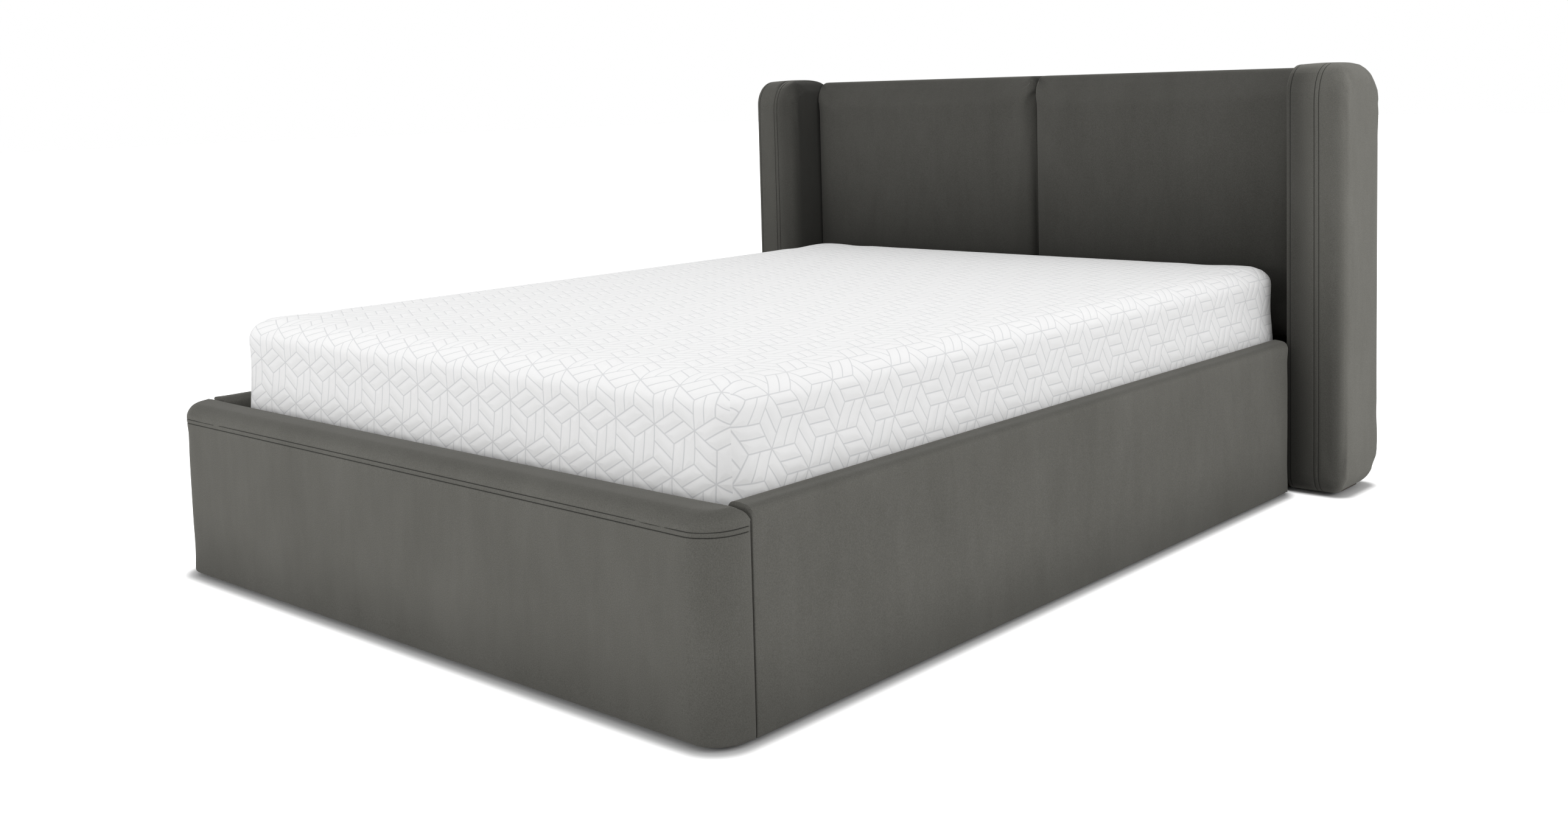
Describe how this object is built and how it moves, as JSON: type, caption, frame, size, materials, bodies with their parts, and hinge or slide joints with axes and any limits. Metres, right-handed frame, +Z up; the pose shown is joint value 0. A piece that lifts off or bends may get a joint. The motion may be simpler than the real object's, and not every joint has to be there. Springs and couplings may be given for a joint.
{
  "type": "ottoman bed",
  "caption": "Velvet storage bed with a winged padded headboard, padded rails and footboard, mattress, and a slatted platform that lifts from the foot end on gas struts over a storage box.",
  "frame": {"origin": "on the floor, in the middle of the outer box of the bed", "axes": "+Y runs along the bed towards the headboard, +Z up, +X to the right of a person at the foot who looks at the headboard"},
  "size_m": [1.87, 2.275, 1.048],
  "materials": {
    "velvet": "matte",
    "mattress_fabric": "matte",
    "webbing": "matte",
    "panel_wood": "matte",
    "floor_board": "matte",
    "slat_birch": "satin",
    "black_steel": "satin",
    "zinc_steel": "satin",
    "strut_rod_chrome": "polished",
    "black_plastic": "matte"
  },
  "bodies": {
    "base": {"arm_studs": "zinc_steel", "corner_bolts": "zinc_steel", "floor_batten_left": "panel_wood", "floor_batten_right": "panel_wood", "floor_centre_rail": "panel_wood", "floor_glides": "black_plastic", "foot_bracket_left": "black_steel", "foot_bracket_right": "black_steel", "footboard_cover": "velvet", "footboard_panel": "panel_wood", "head_bracket_left": "black_steel", "head_bracket_right": "black_steel", "head_end_board": "panel_wood", "headboard_back": "velvet", "headboard_frame": "panel_wood", "headboard_pad_left": "velvet", "headboard_pad_right": "velvet", "lift_plate_left": "black_steel", "lift_plate_right": "black_steel", "lift_plate_screws": "zinc_steel", "platform_ledge_left": "panel_wood", "platform_ledge_right": "panel_wood", "side_rail_cover_left": "velvet", "side_rail_cover_right": "velvet", "side_rail_panel_left": "panel_wood", "side_rail_panel_right": "panel_wood", "storage_floor_foot": "floor_board", "storage_floor_head": "floor_board", "strut_foot_studs": "zinc_steel", "wing_cover_left": "velvet", "wing_cover_right": "velvet", "wing_frame_left": "panel_wood", "wing_frame_right": "panel_wood"},
    "lift_arms": {"arm_top_pins": "zinc_steel", "lift_arm_left": "black_steel", "lift_arm_right": "black_steel"},
    "platform": {"guide_bushes": "black_plastic", "guide_pins": "zinc_steel", "lift_hanger_left": "black_steel", "lift_hanger_right": "black_steel", "mattress": "mattress_fabric", "mattress_retainer": "black_steel", "platform_frame": "black_steel", "pull_strap": "webbing", "slat_bank_left": "slat_birch", "slat_bank_right": "slat_birch", "slat_holders": "black_plastic", "strut_head_studs": "zinc_steel"},
    "strut_cylinders": {"strut_cylinder_left": "black_steel", "strut_cylinder_right": "black_steel"},
    "strut_rods": {"strut_rod_end_left": "zinc_steel", "strut_rod_end_right": "zinc_steel", "strut_rod_left": "strut_rod_chrome", "strut_rod_right": "strut_rod_chrome"}
  },
  "joints": [
    {"name": "platform_lift", "type": "hinge", "parent": "lift_arms", "child": "platform", "pos_m": [0, 0.53155, 0.243], "axis": [-1, 0, 0], "range_deg": [0, 72]},
    {"name": "arm_swing", "type": "hinge", "parent": "base", "child": "lift_arms", "pos_m": [0, 0.2706, 0.095], "axis": [1, 0, 0], "range_deg": [0, 36]},
    {"name": "strut_swing", "type": "hinge", "parent": "base", "child": "strut_cylinders", "pos_m": [0, 0.5285, 0.06], "axis": [1, 0, 0], "range_deg": [0, 37.6]},
    {"name": "strut_slide", "type": "slide", "parent": "strut_cylinders", "child": "strut_rods", "axis": [0, 0.3443, 0.9389], "range_m": [0, 0.09]}
  ],
  "couplings": [
    {"joint": "arm_swing", "follows": "platform_lift", "ratio": 0.5},
    {"joint": "strut_swing", "follows": "platform_lift", "ratio": 0.5222},
    {"joint": "strut_slide", "follows": "platform_lift", "m_per_rad": 0.07161}
  ]
}
